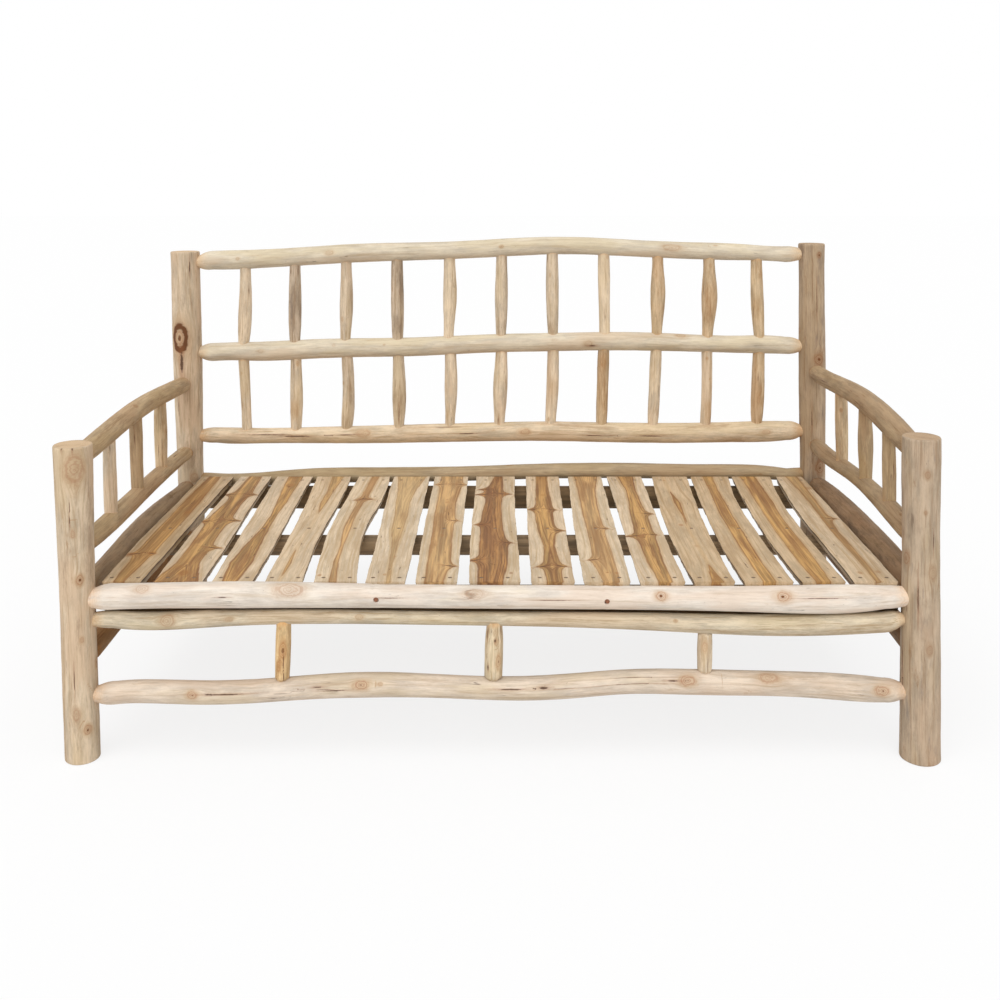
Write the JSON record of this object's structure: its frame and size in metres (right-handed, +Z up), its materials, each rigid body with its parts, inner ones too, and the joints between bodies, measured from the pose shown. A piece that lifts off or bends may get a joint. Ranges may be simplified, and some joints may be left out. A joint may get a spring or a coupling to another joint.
{
  "type": "rustic log bench",
  "caption": "Rustic daybed-sized bench of peeled branches with a slatted board seat, spindled back, spindled arms and round posts.",
  "frame": {"origin": "on the floor, midway between the four posts", "axes": "+X along the seat to the right as seen from the front, +Y to the back, +Z up"},
  "size_m": [2.0042, 0.9993, 1.1388],
  "materials": {
    "post": "peeled, weathered",
    "log": "peeled, unfinished",
    "board": "sawn, sanded",
    "screw": "dull"
  },
  "bodies": {
    "root": {"front_left_post": "post", "front_right_post": "post", "back_left_post": "post", "back_right_post": "post", "seat_front_log": "log", "front_upper_rail": "log", "front_stretcher": "log", "back_top_rail": "log", "back_middle_rail": "log", "back_low_rail": "log", "seat_back_rail": "log", "middle_bearer": "log", "rear_bearer": "log", "arm_top_rail_left": "log", "arm_low_rail_left": "log", "seat_side_rail_left": "log", "low_side_rail_left": "log", "arm_spindle_left_rear": "log", "arm_spindle_left_middle": "log", "arm_spindle_left_front": "log", "arm_top_rail_right": "log", "arm_low_rail_right": "log", "seat_side_rail_right": "log", "low_side_rail_right": "log", "arm_spindle_right_rear": "log", "arm_spindle_right_middle": "log", "arm_spindle_right_front": "log", "front_spindle_left": "log", "front_spindle_middle": "log", "front_spindle_right": "log", "back_spindle_pair_01": "log", "back_spindle_pair_02": "log", "back_spindle_pair_03": "log", "back_spindle_pair_04": "log", "back_spindle_pair_05": "log", "back_spindle_pair_06": "log", "back_spindle_pair_07": "log", "back_spindle_pair_08": "log", "back_spindle_pair_09": "log", "back_spindle_pair_10": "log", "back_spindle_pair_11": "log", "slat_01": "board", "slat_02": "board", "slat_03": "board", "slat_04": "board", "slat_05": "board", "slat_06": "board", "slat_07": "board", "slat_08": "board", "slat_09": "board", "slat_10": "board", "slat_11": "board", "slat_12": "board", "slat_13": "board", "slat_14": "board", "slat_15": "board", "front_ledger": "board", "slat_screws": "screw", "seat_log_screws": "screw"}
  },
  "joints": []
}
